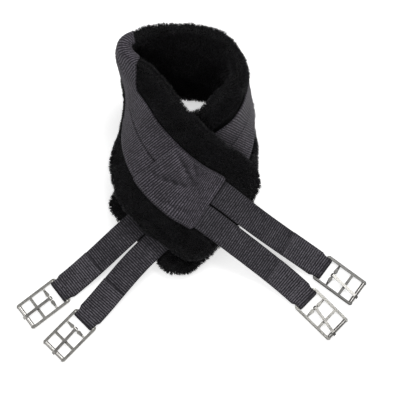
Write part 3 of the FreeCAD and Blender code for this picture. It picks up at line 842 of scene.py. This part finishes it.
def fleece_skin():
    """The backing as a grid round the pad's section: the webbing's side, the rims and the inner face."""
    rows = SKIN_ROWS
    stations = station_at(np.linspace(0, FINE_DISTANCE[-1], rows))
    from_end = np.minimum(distance_at(stations), FINE_DISTANCE[-1] - distance_at(stations))
    taper = np.sqrt(np.clip(1 - (1 - np.clip(from_end / (9 * MM), 0, 1)) ** 2, 0.02, 1))
    rim = SKIN_HALF + 1 * MM
    reach = half_width(stations) - rim - PILE_LENGTH * 0.9
    flat = RECESS - 0.5 * MM - 0.6 * bow(stations) * (stations > 8)
    rise = climb(stations)
    columns = []

    def border(side, u):
        """The outer face between the webbing's edge and the rim."""
        edge = np.minimum(COVERED + side * rise, reach - 1 * MM)
        columns.append((side * (edge + np.maximum(reach - edge, 0) * u), flat + (rim - flat) * u, 1))

    def turn(side, angles):
        for a in angles:
            columns.append((side * (reach + rim * math.cos(a)), np.full(rows, rim * math.sin(a)), 0))

    for w in np.linspace(-COVERED, COVERED, 17):
        columns.append((np.minimum(w + rise, reach - 1 * MM), flat, 1))
    for k in range(1, 5):
        border(1, k / 4)
    turn(1, [math.pi * (0.5 - k / 6) for k in range(1, 6)])
    for u in np.linspace(1, -1, 29):
        columns.append((reach * u, np.full(rows, -SKIN_HALF), -1))
    turn(-1, [math.pi * (k / 6 - 0.5) for k in range(1, 6)])
    for k in range(4, 0, -1):
        border(-1, k / 4)
    w = np.stack([c[0] for c in columns], axis=1)
    n = np.stack([c[1] for c in columns], axis=1) * taper[:, None]
    side = np.repeat(np.array([c[2] for c in columns], float)[None], rows, 0)
    t = np.repeat(stations[:, None], w.shape[1], 1)
    points = pad_points(t, w, n)[0]
    near_end = 1 - smoothstep(distance_at(t.ravel()), 0, 40 * MM)
    stretch = FRONT_STRETCH * near_end * smoothstep(w.ravel(), 0, 40 * MM)
    points -= frame_at(0)[1] * stretch[:, None]
    count = w.shape[1]
    quads = tube_faces(rows, count)
    caps = np.concatenate((np.arange(count)[::-1], (rows - 1) * count + np.arange(count)))
    obj = new_mesh("fleece_pad", points, np.concatenate((quads.ravel(), caps)),
                   np.concatenate((np.full(len(quads), 4), (count, count))))
    for name, values in (("station", t), ("across", w - rise[:, None]), ("side", side)):
        set_value(obj, name, values.ravel())
    return obj


def vertex_array(mesh, key="co"):
    values = np.zeros(len(mesh.vertices) * 3, np.float32)
    mesh.vertices.foreach_get(key, values)
    return values.reshape(-1, 3).astype(float)


def values_of(mesh, name):
    values = np.zeros(len(mesh.vertices), np.float32)
    mesh.attributes[name].data.foreach_get("value", values)
    return values.astype(float)


def subdivide(obj, levels=1):
    modifier = obj.modifiers.new("Subdivision", "SUBSURF")
    modifier.levels = levels
    graph = bpy.context.evaluated_depsgraph_get()
    fine = bpy.data.meshes.new_from_object(obj.evaluated_get(graph))
    obj.modifiers.remove(modifier)
    obj.data = fine


def fleece_pad():
    """The pad's cover: its backing, subdivided once, with soft lumps wherever no webbing holds it down."""
    obj = fleece_skin()
    subdivide(obj)
    mesh = obj.data
    points, normals = vertex_array(mesh), vertex_array(mesh, "normal")
    bare = 1 - (values_of(mesh, "side") > 0.3) * (np.abs(values_of(mesh, "across")) < COVERED + 2 * MM)
    lumps = 0.8 * MM * waves(points, 26 * MM, 3) + 0.5 * MM * waves(points, 9 * MM, 4)
    points += normals * (np.maximum(lumps, -DEEPEST_DIP) * bare)[:, None]
    points[:, 2] = np.maximum(points[:, 2], ABOVE_TABLE)
    mesh.vertices.foreach_set("co", points.astype(np.float32).ravel())
    mesh.update()
    # Painted shade: the backing is kept dark, as deep in the pile.
    set_value(obj, "tip", np.full(len(points), 0.12))
    dress(obj, FLEECE)
    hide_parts("fleece_cover")
    return obj


def scatter(mesh, count):
    """Random places on a mesh of quads: points, normals, and their station, place across and side."""
    quads = np.zeros(len(mesh.loops), np.int32)
    mesh.loops.foreach_get("vertex_index", quads)
    totals = np.zeros(len(mesh.polygons), np.int32)
    mesh.polygons.foreach_get("loop_total", totals)
    starts = np.zeros(len(mesh.polygons), np.int32)
    mesh.polygons.foreach_get("loop_start", starts)
    area = np.zeros(len(mesh.polygons), np.float32)
    mesh.polygons.foreach_get("area", area)
    area = np.where(totals == 4, area, 0).astype(float)
    chosen = random.choice(len(area), count, p=area / area.sum())
    corners = quads[starts[chosen][:, None] + np.arange(4)]
    a, b = random.random(count), random.random(count)
    weights = np.stack(((1 - a) * (1 - b), a * (1 - b), a * b, (1 - a) * b), axis=1)

    def blend(values):
        return np.einsum("fc,fc...->f...", weights, values[corners])

    data = {"point": blend(vertex_array(mesh)), "normal": unit(blend(vertex_array(mesh, "normal")))}
    for name in ("station", "across", "side"):
        data[name] = blend(values_of(mesh, name))
    return data


def pile(pad, obstacles):
    """The plush: bent tapered tufts that lean together in clumps, cut short under cloth and at the table."""
    wanted = TUFTS_PER_PIECE * PILE_PIECES
    data = scatter(pad.data, int(wanted * 1.6))
    t, w, outer = data["station"], np.abs(data["across"]), data["side"] > 0.5
    sewn = outer & (w < COVERED) & (t > FRONT_SEAM) & (t < UNDER_SEAM)
    keep = np.nonzero(~sewn)[0][:wanted]
    root, normal, t, w, outer = (a[keep] for a in (data["point"], data["normal"], t, w, outer))
    length = PILE_LENGTH * random.uniform(0.8, 1.12, len(root)) * (1 + 0.12 * waves(root, 30 * MM, 5))
    under_strap = outer & (w < COVERED)
    length = np.where(under_strap, SHORT_PILE, length)
    beside = outer & ~under_strap & (w < COVERED + 4 * MM)
    length = np.where(beside, length * 0.6, length)
    lay = np.column_stack([waves(root, 45 * MM, seed) for seed in (11, 12, 13)])
    lay -= normal * np.sum(lay * normal, axis=1, keepdims=True)
    aside = data["across"][keep]
    away = pad_points(t, aside + climb(t), 0)[1] * np.sign(aside)[:, None]
    direction = normal + 0.28 * lay + 0.10 * random.normal(size=root.shape) + np.array((0, 0, -0.10))
    direction += away * np.where(beside, 0.5, 0.0)[:, None]
    direction = unit(direction)
    tip = root + direction * length[:, None]
    tip = clumped(root, tip, 0.42)
    direction, length = tip - root, np.linalg.norm(tip - root, axis=1)
    direction /= length[:, None]
    length = clear_length(root, direction, length, obstacles)
    falling = direction[:, 2] < -0.01
    room = (root[:, 2] - 0.2 * MM) / np.where(falling, -direction[:, 2], 1.0)
    length = np.where(falling, np.clip(room, 0.3 * MM, length), length)
    made = []
    order = np.argsort(t, kind="stable")
    for k in range(PILE_PIECES):
        part = order[k * len(order) // PILE_PIECES:(k + 1) * len(order) // PILE_PIECES]
        made.append(tufts(f"pile_{k + 1}", root[part], direction[part], normal[part], length[part]))
    return made


def clumped(root, tip, pull):
    """Draws each tip towards the tip of the nearest of a few chosen tufts."""
    chosen = random.choice(len(root), len(root) // 14, replace=False)
    tree = KDTree(len(chosen))
    for number, i in enumerate(chosen):
        tree.insert(root[i], number)
    tree.balance()
    nearest = chosen[np.array([tree.find(p)[1] for p in root])]
    share = (pull * random.uniform(0.6, 1.2, len(root)))[:, None]
    return tip + (tip[nearest] - tip) * share


def clear_length(root, direction, length, obstacles):
    """Shortens what would run into the webbing or straps that lie over the pile."""
    limited = length.copy()
    for tree in obstacles:
        for i, (a, d, l) in enumerate(zip(root + direction * 0.3 * MM, direction, limited)):
            hit = tree.ray_cast(a, d, l)[3]
            if hit is not None:
                limited[i] = max(hit * 0.9, 0.8 * MM)
    return limited


def tufts(name, root, direction, normal, length):
    """Closed three-sided spikes with one bend, from arrays."""
    count = len(root)
    aside = unit(np.cross(direction, random.normal(size=root.shape)))
    other = np.cross(direction, aside)
    thick = TUFT_THICKNESS * random.uniform(0.75, 1.25, count)[:, None]
    middle = root + (unit(direction * 0.75 + normal * 0.35)) * (length * 0.55)[:, None]
    tip = root + direction * length[:, None]
    rings = []
    for centre, scale in ((root - normal * 0.4 * MM, 1.0), (middle, 0.72)):
        for k in range(3):
            angle = 2 * math.pi * k / 3
            rings.append(centre + (aside * math.cos(angle) + other * math.sin(angle)) * thick * scale)
    vertices = np.stack((*rings, tip), axis=1)
    quads = np.array(((0, 1, 4, 3), (1, 2, 5, 4), (2, 0, 3, 5)))
    triangles = np.array(((3, 4, 6), (4, 5, 6), (5, 3, 6), (2, 1, 0)))
    first = (np.arange(count) * 7)[:, None, None]
    loops = np.concatenate(((quads + first).ravel(), (triangles + first).ravel()))
    sizes = np.concatenate((np.full(3 * count, 4), np.full(4 * count, 3)))
    obj = new_mesh(name, vertices.reshape(-1, 3), loops, sizes)
    # Painted shade down each tuft: darkest at the root, lightest at the tip.
    set_value(obj, "tip", np.tile((0.1, 0.1, 0.1, 0.55, 0.55, 0.55, 1.0), count))
    return dress(obj, FLEECE)


# ---------------------------------------------------------------- the object

cloths = [lane(1, "lane_upper"), lane(-1, "lane_lower"), end_patch("front", "end_patch_front"),
          end_patch("under", "end_patch_under")]
for strap_name in STRAP_BARS:
    cloths.append(strap(strap_name))
    fold_stitching(strap_name)
lane_stitching()
patch_stitching("front")
patch_stitching("under")

pad = fleece_pad()
graph = bpy.context.evaluated_depsgraph_get()
pile(pad, [BVHTree.FromObject(cloth, graph) for cloth in cloths])

for node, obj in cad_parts.items():
    obj.data.materials.clear()
    # Painted shade: the front upper buckle gets a darker copy of the same frame metal.
    if node == "buckle_frame_front_upper":
        obj.data.materials.append(SHADED_FRAME_METAL)
    elif node.startswith("roller_pin") or node.startswith("buckle_frame"):
        obj.data.materials.append(FRAME_METAL)
    elif node.startswith("roller"):
        obj.data.materials.append(ROLLER_METAL)
    elif node.startswith("tongue"):
        obj.data.materials.append(TONGUE_METAL)
    else:
        obj.data.materials.append(FOAM)


# ---------------------------------------------------------------- floor, light and camera


FLOOR_HALF = 8.0
CAMERA_DISTANCE = 1.5
CAMERA_ELEVATION = math.radians(74)
CAMERA_TARGET = (0.011, 0.016, 0.0)

# Each lamp's name, place, power and width
LAMPS = (
    ("key", (0.55, 0.75, 1.7), 15, 0.9),
    ("fill", (-1.3, -0.3, 1.5), 7, 1.2),
    ("front", (0.3, -1.4, 1.3), 4, 1.0),
)


def studio():
    """A pale table under soft lamps, and a sky that darkens to the horizon for the metal to reflect."""
    size = FLOOR_HALF
    mesh = bpy.data.meshes.new("floor")
    corners = [(-size, -size, 0), (size, -size, 0), (size, size, 0), (-size, size, 0)]
    mesh.from_pydata(corners, [], [(0, 1, 2, 3)])
    floor = bpy.data.objects.new("floor", mesh)
    floor.data.materials.append(floor_material())
    bpy.context.scene.collection.objects.link(floor)
    world = bpy.data.worlds.new("studio")
    world.use_nodes = True
    tree = world.node_tree
    height = tree.nodes.new("ShaderNodeSeparateXYZ")
    tree.links.new(tree.nodes.new("ShaderNodeTexCoord").outputs["Generated"], height.inputs[0])
    sky = tree.nodes.new("ShaderNodeValToRGB")
    sky.color_ramp.elements[0].position, sky.color_ramp.elements[0].color = 0.30, (0.03, 0.03, 0.032, 1)
    sky.color_ramp.elements[1].position, sky.color_ramp.elements[1].color = 0.85, (1, 1, 1, 1)
    tree.links.new(height.outputs["Z"], sky.inputs[0])
    tree.links.new(sky.outputs[0], tree.nodes["Background"].inputs["Color"])
    tree.nodes["Background"].inputs["Strength"].default_value = 0.42
    bpy.context.scene.world = world
    for name, place, power, width in LAMPS:
        lamp = bpy.data.lights.new(name, "AREA")
        lamp.energy, lamp.size = power, width
        holder = bpy.data.objects.new(name, lamp)
        holder.location = place
        aim(holder, (0, 0, 0.05))
        bpy.context.scene.collection.objects.link(holder)


def aim(obj, target):
    direction = Vector(target) - Vector(obj.location)
    obj.rotation_euler = direction.to_track_quat("-Z", "Y").to_euler()


def camera():
    """A steep product view from the front, 1.5 m away."""
    data = bpy.data.cameras.new("camera")
    data.sensor_width, data.lens = 36.0, 92.46
    obj = bpy.data.objects.new("camera", data)
    back, up = CAMERA_DISTANCE * math.cos(CAMERA_ELEVATION), CAMERA_DISTANCE * math.sin(CAMERA_ELEVATION)
    obj.location = (CAMERA_TARGET[0], CAMERA_TARGET[1] - back, up)
    aim(obj, CAMERA_TARGET)
    bpy.context.scene.collection.objects.link(obj)
    bpy.context.scene.camera = obj


studio()
camera()
bpy.context.scene.view_settings.view_transform = "Standard"
